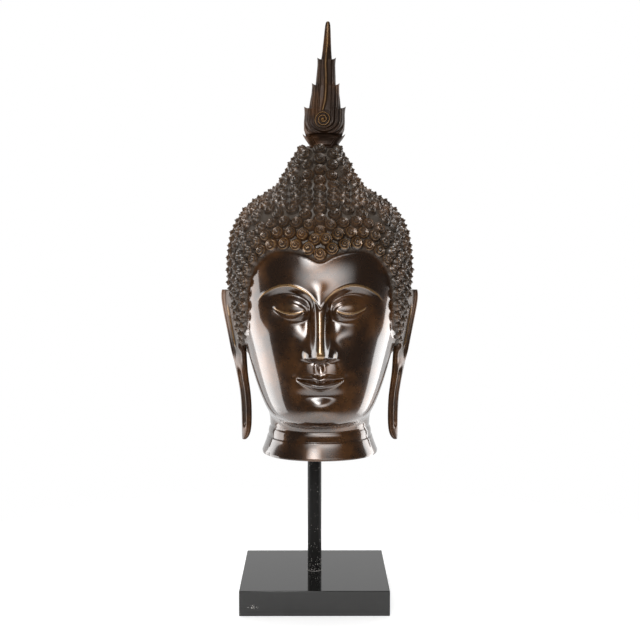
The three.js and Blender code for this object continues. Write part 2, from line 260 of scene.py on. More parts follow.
bpy.ops.object.select_all(action="DESELECT")
bpy.ops.mesh.primitive_torus_add(
    major_segments=96, minor_segments=10, major_radius=rod_radius + ring_width / 2, minor_radius=ring_width,
    location=(0, 0, base_high.z),
)
ring = bpy.context.object
ring.scale.z = ring_rise / ring_width
bpy.ops.object.shade_smooth_by_angle(angle=math.radians(60))
settle(ring, "rod_foot_ring", pale_ring_finish())

# Head
# The face, neck and scalp are one hollow casting in bronze, coloured dark brown and waxed to a gloss, with
# gold where hands have rubbed the brows, lids, nose and lips. The rod is let into the neck. It is drawn in
# millimetres above the neck's cut, with x and y measured from the middle of the head.
head_low, head_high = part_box("head")
head_middle = Vector(((head_low.x + head_high.x) / 2, 0, head_low.z))

# Each level: height, rise towards the back, middle's distance behind the axis, half width, front, back.
head_levels = [
    (0, 0, 0, 60.6, 62, 62), (9, 0, 0, 57, 59, 59), (17.5, 0, 0, 54, 56.5, 57), (25, 0, 0, 52.4, 55.5, 56),
    (34, 0.03, 0, 52.3, 57, 57), (43, 0.1, 0, 53.5, 65, 60), (51, 0.16, 0, 56, 84, 66),
    (60, 0.17, 0, 60, 96, 72), (72, 0.15, 0, 65, 98.5, 80), (88, 0.11, 0, 70.5, 99, 88),
    (108, 0.06, 0, 76, 100, 96), (131, 0.02, 0, 81.5, 100, 101), (154, 0, 0, 87, 99.5, 103.5),
    (176, 0, 0, 90, 99, 104), (198, 0, 0, 91.2, 97, 102), (219, 0, 1, 89.4, 93, 96),
    (237, 0, 2, 84.8, 86, 87), (252, 0, 3, 75.8, 75.8, 76), (263, 0, 4, 61, 61, 61),
    (272, 0, 5, 45, 45, 45), (282, 0, 5, 36.4, 36.4, 36.4), (294, 0, 5, 30.8, 30.8, 30.8),
    (306, 0, 5, 23.8, 23.8, 23.8), (315.5, 0, 5, 18.3, 18.3, 18.3), (318.8, 0, 5, 15.4, 15.4, 15.4),
]
face_fullness = 0.1
crown_place = len(head_levels) - 1

# The hair's lower edge: degrees round from the front, height.
hair_edge = [
    (0, 204), (9, 210), (18, 213.5), (30, 213), (40, 204), (48, 189), (53, 171), (57, 151),
    (65, 131), (76, 118), (95, 109), (120, 81), (150, 61), (180, 55),
]
hair_cap = 2.6

# The face's own proportions are the drawing books': eyes half way up from the chin to the top of the skull,
# equal thirds from brow to nose to chin, a face five eyes wide and two thirds as wide as long, and the mouth
# a third of the way from nose to chin.
chin_height = 43
face_length = 0.715 * head_levels[-1][0]
face_third = face_length / 3.5
nose_foot = chin_height + face_third
brow_height = chin_height + 2 * face_third
eye_height = chin_height + face_length / 2
mouth_height = nose_foot - face_third / 3
eye_width = face_length * 2 / 3 / 5
eye_middle = eye_width
mouth_half = 0.8 * eye_width
nose_half = 0.53 * eye_width
brow_curve = [(0, -16), (4, -10), (10, -3), (20, 3.5), (32, 6.5), (45, 4), (56, -2.5), (66, -12)]
socket_depth = [(4, 0), (11, 6.8), (22, 6.8), (36, 5.2), (50, 2.8), (66, 0)]
nose_softness = 4
nose_ridge = [
    (-5, 0), (-2.5, 3.5), (0, 12), (3, 18.5), (7, 20.5), (12, 19.2), (22, 15.4),
    (34, 11.2), (46, 7.8), (56, 5.4), (66, 3), (80, 0),
]


def along_table(rows, place):
    """A smooth curve led by a table's rows as by a spline's handles. place is 0 at the first row."""
    rows = np.array(rows, float)
    rows = np.vstack([2 * rows[0] - rows[1], rows, 2 * rows[-1] - rows[-2]])
    span = np.clip(np.floor(place).astype(int), 0, len(rows) - 4)
    t = (place - span)[..., None]
    pulls = ((1 - t) ** 3, 3 * t**3 - 6 * t**2 + 4, -3 * t**3 + 3 * t**2 + 3 * t + 1, t**3)
    return sum(pull * rows[span + k] for k, pull in enumerate(pulls)) / 6


def eased_line(pairs, x):
    """The value at x of an eased line through (x, value) pairs."""
    xs, ys = np.array(pairs, float).T
    slopes = np.diff(ys) / np.diff(xs)
    leans = np.concatenate([[0], (slopes[1:] + slopes[:-1]) / 2, [0]])
    x = np.clip(x, xs[0], xs[-1])
    i = np.clip(np.searchsorted(xs, x) - 1, 0, len(slopes) - 1)
    w = xs[i + 1] - xs[i]
    t = (x - xs[i]) / w
    return (
        (2 * t**3 - 3 * t**2 + 1) * ys[i] + (t**3 - 2 * t**2 + t) * w * leans[i]
        + (3 * t**2 - 2 * t**3) * ys[i + 1] + (t**3 - t**2) * w * leans[i + 1]
    )


def step(x, start, end):
    t = np.clip((x - start) / (end - start), 0, 1)
    return t * t * (3 - 2 * t)


def hill(x, centre, width):
    return np.exp(-(((x - centre) / width) ** 2))


def cap(squares):
    """The height of a round cap, from 1 in its middle to 0 where the squares of its shares add up to 1."""
    return np.sqrt(np.clip(1 - squares, 0, None))


def upper_of(a, b, softness):
    return (a + b + np.sqrt((a - b) ** 2 + softness**2)) / 2


def bare_head(angle, place):
    """The head without hair or features. angle is 0 at the front and grows towards +X."""
    height, rise, middle, half_width, front, back = np.moveaxis(along_table(head_levels, place), -1, 0)
    sine = np.sin(angle)
    cosine = np.cos(angle)
    depth = np.where(cosine > 0, front * (1 + face_fullness * sine**2), back)
    y = middle - depth * cosine
    return np.stack([half_width * sine, y, height + rise * y], -1)


def outward(angle, place):
    small = 1e-3
    place = np.clip(place, small, crown_place - small)
    around = bare_head(angle + small, place) - bare_head(angle - small, place)
    upwards = bare_head(angle, place + small) - bare_head(angle, place - small)
    normal = np.cross(around, upwards)
    return normal / np.linalg.norm(normal, axis=-1, keepdims=True)


def degrees_from_front(angle):
    return np.degrees(np.abs(np.arctan2(np.sin(angle), np.cos(angle))))


def below_brow(x, height):
    return brow_height + eased_line(brow_curve, x) - height


def eye_lines(x):
    """Heights of the upper and the lower lid's edge and of the fold, and how far along the eye x is."""
    along = (x - eye_middle) / (eye_width / 2)
    bow = np.clip(1 - along**2, 0, None)
    tilt = eye_height - 1 + 1.2 * along
    upper = tilt - 4.4 * bow
    lower = tilt - 7.4 * bow**0.9
    fold = tilt + 8.5 * np.clip(1 - (along / 1.2) ** 2, 0, None) ** 0.7
    return upper, lower, fold, along


def eyes(x, height):
    below = below_brow(x, height)
    socket = -eased_line(socket_depth, x) * step(below, -0.8, 9) * (1 - step(below, 18, 50))
    line = 0.8 * hill(below, -0.4, 1.5) * (1 - step(x, 54, 66))
    from_ball = ((x - eye_middle) / 21.5) ** 2 + ((height - eye_height + 1.5) / 14.5) ** 2
    ball = 0.2 - 4.1 * from_ball - 4.1 * from_ball**3
    upper, lower, fold, along = eye_lines(x)
    across = 1 - step(np.abs(along), 0.9, 1.02)
    opening = step(upper - height, -0.3, 0.8) * step(height - lower, -0.4, 0.8) * across
    rim = 0.45 * hill(height - upper, 0.8, 0.8) * across + 0.3 * hill(height - lower, -1, 0.9) * across
    crease = -0.5 * hill(height - fold, 0, 1.5) * (1 - step(np.abs(along), 1.05, 1.25))
    tail_line = eye_height + 0.4 + 0.1 * (x - 45)
    tail = -0.45 * hill(height, tail_line, 1.0) * step(x, 43, 46) * (1 - step(x, 50, 56))
    return upper_of(socket, ball, 2.6) - 0.6 + line - 1.3 * opening + rim + crease + tail


def nose(x, height):
    above = height - nose_foot
    half = eased_line([(-6, 9.5), (4, 10.5), (12, 9.6), (26, 8.2), (44, 8), (58, 9.5), (76, 13)], above)
    bridge = eased_line(nose_ridge, above) * np.exp(-((x / half) ** 2.3))
    bridge = bridge * (1 - step(x, 1.6 * half, 2.6 * half))
    from_wing = above - 4.6
    wing_rise = np.where(from_wing > 0, np.exp(-((from_wing / 8.5) ** 2)), np.exp(-((from_wing / 5.4) ** 4)))
    wing = 10.5 * hill(x, 0.62 * nose_half, 6.8) * wing_rise
    crease_at = np.hypot((x - 0.55 * nose_half) / 8.4, from_wing / 8.4)
    groove = -0.6 * hill(crease_at, 1.08, 0.16) * step(x, 0.65 * nose_half, 0.95 * nose_half)
    groove = groove * step(above, 0, 3)
    nostril = -2.2 * hill(x, 6.4, 2.8) * hill(above, -1.6, 2.2)
    return upper_of(bridge, wing, nose_softness) - nose_softness / 2 + groove + nostril


def lip_lines(x):
    """The lips' share of their fullness at x, the height of the line between them, and each lip's height."""
    share = np.clip(1 - (x / mouth_half) ** 2, 0, None)
    line = mouth_height + 2.4 * (x / mouth_half) ** 2 - 0.7 * hill(x, 0, 5)
    upper = 7.2 * share**0.75 - 1.5 * hill(x, 0, 3.6)
    lower = 8.6 * share**0.7
    return share, line, upper, lower


def mouth(x, height):
    share, line, upper, lower = lip_lines(x)
    above = height - line
    up = np.clip(above / np.maximum(upper, 0.1), 0, 1)
    down = np.clip(-above / np.maximum(lower, 0.1), 0, 1)
    full = share**0.35
    lips = (3.2 * np.sin(np.pi * up**0.85) + 4.2 * np.sin(np.pi * down**0.9)) * (1 - hill(above, 0, 1.1))
    inside = 0.5 * (step(above, -0.2 - lower, 0.6 - lower) - step(above, upper - 0.6, upper + 0.2))
    edge = 0.35 * hill(above, upper, 0.7) + 0.3 * hill(above, -lower, 0.7)
    muzzle = 4.5 * hill(x, 0, 26) * hill(height, mouth_height + 2, 17)
    shut = -0.9 * hill(above, 0, 1.3) * share**0.3
    under = -2.6 * hill(x, 0, 17) * hill(height, mouth_height - 14.5, 5)
    gutter = -1.2 * hill(x, 0, 2.6) * hill(height, mouth_height + 13.5, 5)
    banks = 0.5 * hill(x, 4.6, 1.6) * hill(height, mouth_height + 12.5, 5)
    corner = -1.1 * hill(x, mouth_half + 1, 4.5) * hill(height, mouth_height + 2.4, 4.5)
    return (lips + inside + edge) * full + muzzle + shut + under + gutter + banks + corner


def flesh(x, height):
    chin = 3.6 * hill(x, 0, 15) * hill(height, chin_height + 15, 10)
    cheek = 2.2 * hill(x, 43, 20) * hill(height, nose_foot + 8, 22)
    fold_x = 15 + 0.34 * (nose_foot + 4 - height)
    beside = -0.7 * hill(x, fold_x, 3) * step(height, mouth_height - 2, mouth_height + 8) * (
        1 - step(height, nose_foot + 2, nose_foot + 9))
    return chin + cheek + beside


collar_top = 17.2
fold_middle = 23
fold_top = 28.5
chip_degrees = -63
chip_depth = 2.2


def neck_relief(height):
    """How far the collar and the fold above it stand out from the bare neck."""
    collar = 0.9 * (1 - step(height, collar_top - 0.3, collar_top + 0.5))
    rim = -0.9 * (1 - step(height, 0, 1.6))
    fold = 1.1 * hill(height, fold_middle, 4.5) - 0.5 * hill(height, fold_top, 1.6)
    return collar + rim + fold


def carved_head(angle, place):
    point = bare_head(angle, place)
    facing = step(np.cos(angle), 0.1, 0.5)
    side = np.abs(point[..., 0])
    height = point[..., 2].copy()
    relief = eyes(side, height) + nose(side, height) + mouth(side, height) + flesh(side, height)
    point[..., 1] -= relief * facing * step(height, chin_height - 17, chin_height - 6)
    covered = step(height - eased_line(hair_edge, degrees_from_front(angle)), -2.2, 1.4)
    chip = -chip_depth * hill(np.degrees(angle) - 360, chip_degrees, 2.4) * hill(height, 0, 2.6)
    point += outward(angle, place) * (hair_cap * covered + neck_relief(height) + chip)[..., None]
    return point


def spaced(stretches):
    """Runs of evenly spaced values: (from, to, how many), each run leaving its end to the next."""
    return np.concatenate([np.linspace(start, end, count, endpoint=False) for start, end, count in stretches])


def shape_sphere(name, columns, rings, points):
    """A sphere whose rings are moved to points[ring, column], with its ends closed at the points' means."""
    bpy.ops.object.select_all(action="DESELECT")
    bpy.ops.mesh.primitive_uv_sphere_add(segments=columns, ring_count=rings + 1, radius=1)
    piece = bpy.context.object
    piece.name = name
    count = len(piece.data.vertices)
    ball = np.empty(count * 3)
    piece.data.vertices.foreach_get("co", ball)
    ball = ball.reshape(-1, 3)
    ring = np.rint(np.arccos(np.clip(-ball[:, 2], -1, 1)) / np.pi * (rings + 1)).astype(int)
    column = np.rint(np.arctan2(ball[:, 0], -ball[:, 1]) / (2 * np.pi) * columns).astype(int) % columns
    inner = np.clip(ring - 1, 0, rings - 1)
    moved = points[inner, column]
    moved[ring == 0] = points[0].mean(0)
    moved[ring == rings + 1] = points[-1].mean(0)
    piece.data.vertices.foreach_set("co", moved.ravel())
    piece.data.update()
    return piece, inner, column


def paint(piece, name, values):
    layer = piece.data.attributes.new(name, "FLOAT", "POINT")
    layer.data.foreach_set("value", np.clip(values, 0, 1).astype(np.float32))


def head_rub(x, height, facing):
    """Where hands have rubbed the face to gold."""
    below = below_brow(x, height)
    brow = 0.9 * hill(below, -0.4, 1.5) * (1 - step(x, 56, 68)) * step(x, 2, 6)
    upper, _, _, along = eye_lines(x)
    lid = hill(height - upper, 0.8, 1.0) * (1 - step(np.abs(along), 0.9, 1.1))
    lid_top = 0.4 * cap(((x - eye_middle) / 13) ** 2 + ((height - eye_height - 2) / 7) ** 2)
    above = height - nose_foot
    ridge = 0.6 * hill(x, 0, 3.6) * step(above, -1, 4) * (1 - step(above, 36, 64))
    tip = 0.6 * hill(x, 0, 5) * hill(above, 5, 5)
    wing = 0.6 * hill(x, 15, 2) * hill(above, 4, 5)
    share, line, upper_lip, lower_lip = lip_lines(x)
    lips = 0.5 * (hill(height - line, upper_lip, 0.8) + hill(height - line, -lower_lip, 0.8)) * (share > 0.02)
    chin = 0.3 * hill(x, 0, 14) * hill(height, chin_height + 6, 5)
    forehead = 0.3 * hill(x, 0, 34) * hill(height, brow_height + 22, 16)
    return (brow + lid + lid_top + ridge + tip + wing + lips + chin + forehead) * facing


def waxed_bronze(name, matt=0.0, depth=1.0):
    """Dark brown patina under wax, golden where rubbed and dusty in the hollows.

    matt dulls the wax and what lies under it, and a depth under 1 darkens the brown.
    """
    shader = Shader(name)
    rub = shader.attribute("rub")
    hollow = shader.attribute("hollow")
    cloud = shader.noise(0.035, 4, 0.55)
    mottle = shader.noise(0.006, 5, 0.6)
    grain = shader.noise(0.0011, 3, 0.6)
    warm = shader.rise(cloud + 0.12 * mottle, 0.44, 0.78)
    dark = (0.037 * depth, 0.0148 * depth, 0.0045 * depth, 1)
    amber = (0.165 * depth, 0.064 * depth, 0.0145 * depth, 1)
    brown = shader.mix(warm, dark, amber)
    worn = shader.rise(rub + 0.35 * (mottle - 0.5), 0.25, 0.9)
    golden = shader.mix(worn, brown, (0.46, 0.26, 0.1, 1))
    dusty = shader.mix(hollow, golden, (0.1, 0.079, 0.06, 1))
    pits = shader.rise(shader.noise(0.001, 0), 0.8, 0.84)
    return shader.finish(
        Base_Color=shader.mix(pits * 0.4, dusty, (0.01, 0.006, 0.004, 1)),
        Metallic=0.38 + 0.36 * matt - 0.5 * hollow + 0.4 * worn,
        Roughness=0.24 + 0.3 * matt + 0.08 * mottle + 0.35 * hollow + 0.05 * worn,
        Normal=shader.bump(mottle + 0.4 * grain - 0.5 * pits, 0.0006, 0.05 + 0.25 * matt),
        Coat_Weight=(1 - 0.9 * hollow) * (1 - 0.9 * matt),
        Coat_Roughness=0.07 + 0.35 * matt,
        Coat_IOR=1.9,
    )


# Columns lie closest at the front. Rows lie closest at the collar, the mouth, the nose's foot and the eyes.
half_columns = spaced([(0, 30, 80), (30, 62, 42), (62, 100, 14), (100, 180, 11)])
head_columns = np.radians(np.concatenate([half_columns, [180], 360 - half_columns[:0:-1]]))
head_places = spaced([
    (0, 1, 12), (1, 4.2, 40), (4.2, 7.2, 22), (7.2, 8.2, 14), (8.2, 8.6, 8), (8.6, 9.25, 44),
    (9.25, 9.7, 12), (9.7, 10.12, 32), (10.12, 10.5, 12), (10.5, 11.6, 16), (11.6, 12.6, 42),
    (12.6, 13.3, 24), (13.3, 15.3, 26), (15.3, crown_place, 14),
])
neck_wall = 7
neck_recess = 4

# The recess under the neck, from its middle out to the cut: share of the inner rim, height.
under_rows = [
    (0.3, neck_recess), (0.7, neck_recess), (1, neck_recess), (1, neck_recess - 0.6), (1, 0.7), (1.008, 0.15),
]
rim = bare_head(head_columns, np.zeros(len(head_columns)))
inner_rim = rim * (1 - neck_wall / np.linalg.norm(rim, axis=-1, keepdims=True))
under = np.stack([inner_rim * share + (0, 0, height) for share, height in under_rows])
angles, places = np.meshgrid(head_columns, head_places)
skin_points = carved_head(angles, places)
crown_shares = np.array([1, 0.7, 0.35])
crown_rim = bare_head(head_columns, np.full(len(head_columns), crown_place - 0.001))
crown_rows = np.stack([crown_rim * (share, share, 1) for share in crown_shares])
crown_rows[..., 1] += head_levels[-1][2] * (1 - crown_shares)[:, None]
all_points = np.concatenate([under, skin_points, crown_rows])
skin, ring_of, column_of = shape_sphere(
    "cast_head", len(head_columns), len(all_points), all_points * mm + np.array(head_middle),
)
at = all_points[ring_of, column_of]
turned = head_columns[column_of]
paint(skin, "rub", head_rub(np.abs(at[:, 0]), at[:, 2], step(np.cos(turned), 0.1, 0.4)))
edge_here = eased_line(hair_edge, degrees_from_front(turned))
paint(skin, "hollow", 0.9 * step(at[:, 2] - edge_here, -1.5, 2) * (ring_of > len(under)))
pick(skin)
bpy.ops.object.shade_smooth_by_angle(angle=math.radians(60))
settle(skin, "cast_head", waxed_bronze("waxed_bronze"), "head")

# Curls
# Snail-shell curls of wax were rolled, set on the wax head and cast with it: three rows follow the hair's
# edge, and staggered columns come down to them from the crown. Each winds two turns up to a nub. They are
# duller than the face, with dust in the valleys and gold on rubbed ridges.
curl_row_pitch = 12.6
curl_column_pitch = 13.5
curl_radius = 7
curl_height = 6.5
curl_turns = 2
curl_wind = 2.5
curl_climb = 1.65
curl_ridge_foot = 2.3
curl_valley_foot = 1.6
curl_sunk = 0.3
curl_tilt = 0.05
curl_spread = 0.035
turn_steps = 12
edge_rows = (6.4, 17.8, 29.2)
edge_pitch = 12.8
least_gap = 0.68 * edge_pitch
first_curl = 4
nape = 300
flame_seat = 16


def one_curl():
    """A snail shell in millimetres: a ridge and a valley wind inwards and up, inside a low wall."""
    steps = int(curl_turns * turn_steps)
    points = []
    wear = []

    def ring_of_points(count, radius, height, rubbed):
        first = len(points)
        for i in range(count):
            angle = 2 * math.pi * i / turn_steps
            turn = i / turn_steps
            points.append((radius(turn) * math.cos(angle), radius(turn) * math.sin(angle), height(turn)))
            wear.append(rubbed)
        return first

    foot = ring_of_points(turn_steps, lambda t: curl_radius, lambda t: -1.5, 0)
    wall = ring_of_points(turn_steps, lambda t: 0.98 * curl_radius, lambda t: 0.8, 0.1)
    first_ridge = 0.92 * curl_radius
    ridge = ring_of_points(
        steps + 1, lambda t: first_ridge - curl_wind * t, lambda t: curl_ridge_foot + curl_climb * t, 1,
    )
    valley = ring_of_points(
        steps + 1, lambda t: max(first_ridge - 1.2 - curl_wind * t, 0.4),
        lambda t: curl_valley_foot + curl_climb * t, 0,
    )
    points.append((0, 0, curl_height))
    wear.append(1)
    tip = len(points) - 1
    faces = []
    for i in range(turn_steps):
        after = (i + 1) % turn_steps
        faces.append((foot + i, foot + after, wall + after, wall + i))
        faces.append((wall + i, wall + after, ridge + i + 1, ridge + i))
    faces.append((wall, ridge, valley, ridge + turn_steps))
    for i in range(steps):
        faces.append((ridge + i, ridge + i + 1, valley + i + 1, valley + i))
    inner = steps - turn_steps
    for i in range(inner):
        faces.append((valley + i, valley + i + 1, ridge + i + turn_steps + 1, ridge + i + turn_steps))
    for i in range(inner, steps):
        faces.append((valley + i, valley + i + 1, tip))
    faces.append((valley + steps, ridge + steps, tip))
    faces.append((ridge + steps, valley + inner, tip))
    return np.array(points), faces, np.array(wear)


def level_at(angles, heights):
    """Where the bare head reaches the heights at the angles."""
    fine = np.arange(0, crown_place, 0.02)
    table = along_table(head_levels, fine)[:, 0]
    places = np.interp(heights, table, fine)
    for _ in range(4):
        error = bare_head(angles, places)[:, 2] - heights
        places = places - error / np.interp(places, fine, np.gradient(table, fine))
    return places


def unit(vectors):
    return vectors / np.linalg.norm(vectors, axis=-1, keepdims=True)


def rows_along_edge():
    """Angle and place of the curls in rows along the hair's edge. Every second row is half a curl on."""
    degrees = np.linspace(-180, 180, 1441)
    angles = np.radians(degrees)
    places = level_at(angles, eased_line(hair_edge, np.abs(degrees)))
    edge = bare_head(angles, places)
    square = unit(np.cross(outward(angles, places), np.gradient(edge, axis=0)))
    reach = 40  # samples to each side over which the way up is averaged, because the edge has corners
    wrapped = np.concatenate([square[-reach - 1:-1], square, square[1:reach + 1]])
    upwards = np.stack([np.convolve(part, np.ones(2 * reach + 1), "valid") for part in wrapped.T], -1)
    found = []
    moved = 0
    for row, above in enumerate(edge_rows):
        steps = int(math.ceil(above - moved))
        for _ in range(steps):
            normal = outward(angles, places)
            climb = unit(upwards - (upwards * normal).sum(-1, keepdims=True) * normal)
            x, y, z = (bare_head(angles, places) + climb * (above - moved) / steps).T
            _, _, middle, half_width, front, back = along_table(head_levels, places).T
            depth = np.where(y < middle, front * (1 + face_fullness * np.sin(angles) ** 2), back)
            angles = np.unwrap(np.arctan2(x / half_width, (middle - y) / depth))
            places = level_at(angles, z)
        moved = above
        points = bare_head(angles, places)
        passed = np.concatenate([[0], np.cumsum(np.linalg.norm(np.diff(points, axis=0), axis=1))])
        count = 2 * round(passed[-1] / edge_pitch / 2)
        stops = (np.arange(count) + 0.5 * (row % 2)) * passed[-1] / count
        found += zip(np.interp(stops, passed, angles), np.interp(stops, passed, places))
    return found


def curl_places():
    """Angle and place of each curl: rows along the edge, and staggered columns down from the crown."""
    fine = np.arange(crown_place, 0, -0.05)
    half_row = curl_row_pitch / 2
    columns = 0
    found = rows_along_edge()
    edge_points = np.array([bare_head(np.array(angle), np.array(place)) for angle, place in found])
    side = bare_head(np.full(len(fine), np.pi / 2), fine)
    side_run = np.concatenate([[0], np.cumsum(np.linalg.norm(np.diff(side, axis=0), axis=1))])
    for row in range(int(nape / half_row)):
        length = first_curl + row * half_row
        radius = along_table(head_levels, np.array(np.interp(length, side_run, fine)))[3]
        around = 2 * np.pi * (radius + hair_cap)
        if around / max(columns, 1) > 1.12 * curl_column_pitch:
            columns = 2 * int(math.floor(around / (1.92 * curl_column_pitch) + 0.5))
        for column in range(row % 2, columns, 2):
            angle = column / columns * 2 * np.pi
            run = bare_head(np.full(len(fine), angle), fine)
            passed = np.concatenate([[0], np.cumsum(np.linalg.norm(np.diff(run, axis=0), axis=1))])
            place = np.interp(length, passed, fine)
            point = bare_head(np.array(angle), np.array(place))
            above = point[2] > eased_line(hair_edge, degrees_from_front(np.array(angle)))
            if above and np.linalg.norm(edge_points - point, axis=1).min() > least_gap:
                found.append((angle, place))
    return found


def all_curls():
    shell, faces, wear = one_curl()
    chance = np.random.default_rng(7)
    points = []
    all_faces = []
    crown_top = head_levels[-1][0]
    for angle, place in curl_places():
        angle_at = np.array(angle)
        place_at = np.array(place)
        normal = Vector(outward(angle_at, place_at))
        upwards = Vector(bare_head(angle_at, place_at + 0.01) - bare_head(angle_at, place_at - 0.01))
        side = upwards.cross(normal).normalized()
        turn = Matrix.Rotation(chance.uniform(0, 6.28), 3, "Z")
        nod = Matrix.Rotation(chance.normal(0, curl_tilt), 3, "X")
        tip = nod @ Matrix.Rotation(chance.normal(0, curl_tilt), 3, "Y")
        stand = Matrix((side, side.cross(normal) * -1, normal)).transposed() @ tip @ turn
        size = chance.normal(1, curl_spread)
        base = bare_head(angle_at, place_at) + np.array(normal) * (hair_cap - curl_sunk)
        placed = (shell * size) @ np.array(stand).T + base
        from_axis = np.hypot(placed[:, 0], placed[:, 1] - head_levels[-1][2])
        placed[:, 2] = np.minimum(placed[:, 2], crown_top + np.clip(1.2 * (from_axis - flame_seat), 0, 5))
        all_faces += [tuple(i + len(points) * len(shell) for i in face) for face in faces]
        points.append(placed)
    return np.concatenate(points), all_faces, np.tile(wear, len(points))


def turn_faces_out(piece):
    pick(piece)
    bpy.ops.object.mode_set(mode="EDIT")
    bpy.ops.mesh.select_all(action="SELECT")
    bpy.ops.mesh.normals_make_consistent(inside=False)
    bpy.ops.object.mode_set(mode="OBJECT")


curl_points, curl_faces, curl_wear = all_curls()
curl_mesh = bpy.data.meshes.new("curls")
curl_mesh.from_pydata((curl_points * mm + np.array(head_middle)).tolist(), [], curl_faces)
curls = bpy.data.objects.new("curls", curl_mesh)
bpy.context.collection.objects.link(curls)
turn_faces_out(curls)
bpy.ops.object.shade_smooth_by_angle(angle=math.radians(75))
curl_x, curl_y, curl_z = curl_points.T
from_front = hill(curl_x, 0, 75) * step(-curl_y, 60, 92) * (1 - step(curl_z, 222, 246))
paint(curls, "rub", curl_wear * (0.5 + 0.36 * from_front))
paint(curls, "hollow", (1 - curl_wear) * (0.6 - 0.4 * from_front) + 0.12 * (1 - from_front))
settle(curls, "snail_curls", waxed_bronze("curl_bronze", matt=0.4, depth=0.85))

# Ears
# Long-lobed ears, cast with the head: a flat plate that stands out from the side, with a rolled rim and an
# inner ridge. The lobe hangs free, slit down its length, and its tip curls outwards.

# Each level: height, distance out, distance back, half width, half thickness, degrees turned outwards.
ear_levels = [
    (12, 80.1, -1, 2, 1.8, 40), (15, 78.8, -1, 4.6, 2.6, 40), (23, 77.5, -1, 6.6, 3, 40),
    (38, 77.3, -1, 7.2, 3.1, 40), (58, 78, -1, 7.4, 3.1, 40), (73, 80.4, -0.5, 7.8, 3.2, 38),
    (85, 82.4, 0.5, 9, 3.4, 35), (98, 84.4, 2.5, 11.8, 3.8, 32), (111, 86.2, 5, 14.6, 4.2, 30),
    (123, 88.3, 6.5, 16.2, 4.4, 28), (138, 90.9, 8, 17.4, 4.5, 28), (153, 93.7, 9, 18.2, 4.5, 28),
    (163, 95, 9.5, 17.8, 4.5, 28), (168.6, 95.3, 9.5, 16, 4, 28), (169.6, 95.3, 9.5, 15.4, 3.6, 28),
]


def ear_carving(along, height):
    """How far the outer side stands out. along is -1 at the front edge and 1 at the back edge."""
    upper = step(height, 91, 107)
    bowl = -2.8 * upper * (1 - step(np.abs(along + 0.05), 0.45, 0.75))
    ridge = 1.9 * hill(along, 0.28, 0.1) * step(height, 103, 115) * (1 - step(height, 149, 159))
    second = 0.8 * hill(along, -0.25, 0.1) * step(height, 121, 129) * (1 - step(height, 143, 153))
    rim = 0.9 * upper * hill(along, 0.86, 0.13) - 0.8 * upper * hill(along, 0.66, 0.08)
    knob = 3.4 * hill(along, -0.62, 0.3) * hill(height, 111, 4.2)
    slit = -3.4 * hill(along, 0.0, 0.26) * step(height, 23, 31) * (1 - step(height, 79, 93))
    lips = 0.5 * (hill(along, -0.5, 0.2) + hill(along, 0.5, 0.2))
    lips = lips * step(height, 21, 31) * (1 - step(height, 81, 95))
    return bowl + ridge + second + rim + knob + slit + lips


ear_outline = 72
ear_places = np.concatenate([
    spaced([(0, 2, 22), (2, 6, 60), (6, 12, 90), (12, 14, 14)]), [14],
])
turns, ear_at = np.meshgrid(np.arange(ear_outline) / ear_outline * 2 * np.pi, ear_places)
ear_height, out, behind, half_width, half_thick, flare = np.moveaxis(along_table(ear_levels, ear_at), -1, 0)
along = -np.cos(turns)
outer = np.sin(turns)
across = half_thick * np.sign(outer) * np.abs(outer) ** 0.55
across = across + ear_carving(along, ear_height) * step(outer, 0.02, 0.35)
flare = np.radians(flare)
ear_points = np.stack([
    out + half_width * along * np.sin(flare) + across * np.cos(flare),
    behind + half_width * along * np.cos(flare) - across * np.sin(flare),
    ear_height,
], -1)


def ear_rub():
    line = hill(along, 0.28, 0.12) * step(ear_height, 103, 115) * (1 - step(ear_height, 149, 159))
    edges = 0.55 * hill(along, 1, 0.14) + 0.3 * hill(np.abs(along), 0.5, 0.2) * (1 - step(ear_height, 81, 95))
    return (line + edges) * step(outer, 0.02, 0.35)


ear_bronze = waxed_bronze("ear_bronze", matt=0.55)
for name, mirror in (("ear_right", 1), ("ear_left", -1)):
    ear, ring_of, column_of = shape_sphere(
        name, ear_outline, len(ear_places), ear_points * (mirror * mm, mm, mm) + np.array(head_middle),
    )
    turn_faces_out(ear)
    bpy.ops.object.shade_smooth_by_angle(angle=math.radians(60))
    paint(ear, "rub", ear_rub()[ring_of, column_of])
    paint(ear, "hollow", (0.55 * step(-ear_carving(along, ear_height), 1, 3))[ring_of, column_of])
    settle(ear, name, ear_bronze)

# Flame finial
# A flame cast by itself and set on the crown, where a dark seam shows. Two leaves cup its dark foot, tongues
# end in points up both sides, and chased lines sweep from a volute on the front up to the spike.
flame_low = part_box("flame_finial")[0]
flame_lean = math.tan(math.radians(2))
flame_foot = Vector((head_middle.x + 3.9 * mm, 0.005, flame_low.z))
volute_height = 29.5
volute_radius = 9.2
volute_across = -1.6
line_pitch = 4.3
rib_height = 0.62


def keel_at(height):
    """The hand-drawn line of the ridge up the middle."""
    return eased_line([(36, -2.6), (50, -0.2), (67, 0.2), (91, -0.9), (110, 0), (130, 0)], height)


def recess_top(x):
    return 13 + 2.5 * np.clip(1 - (x / 20) ** 2, 0, 1)


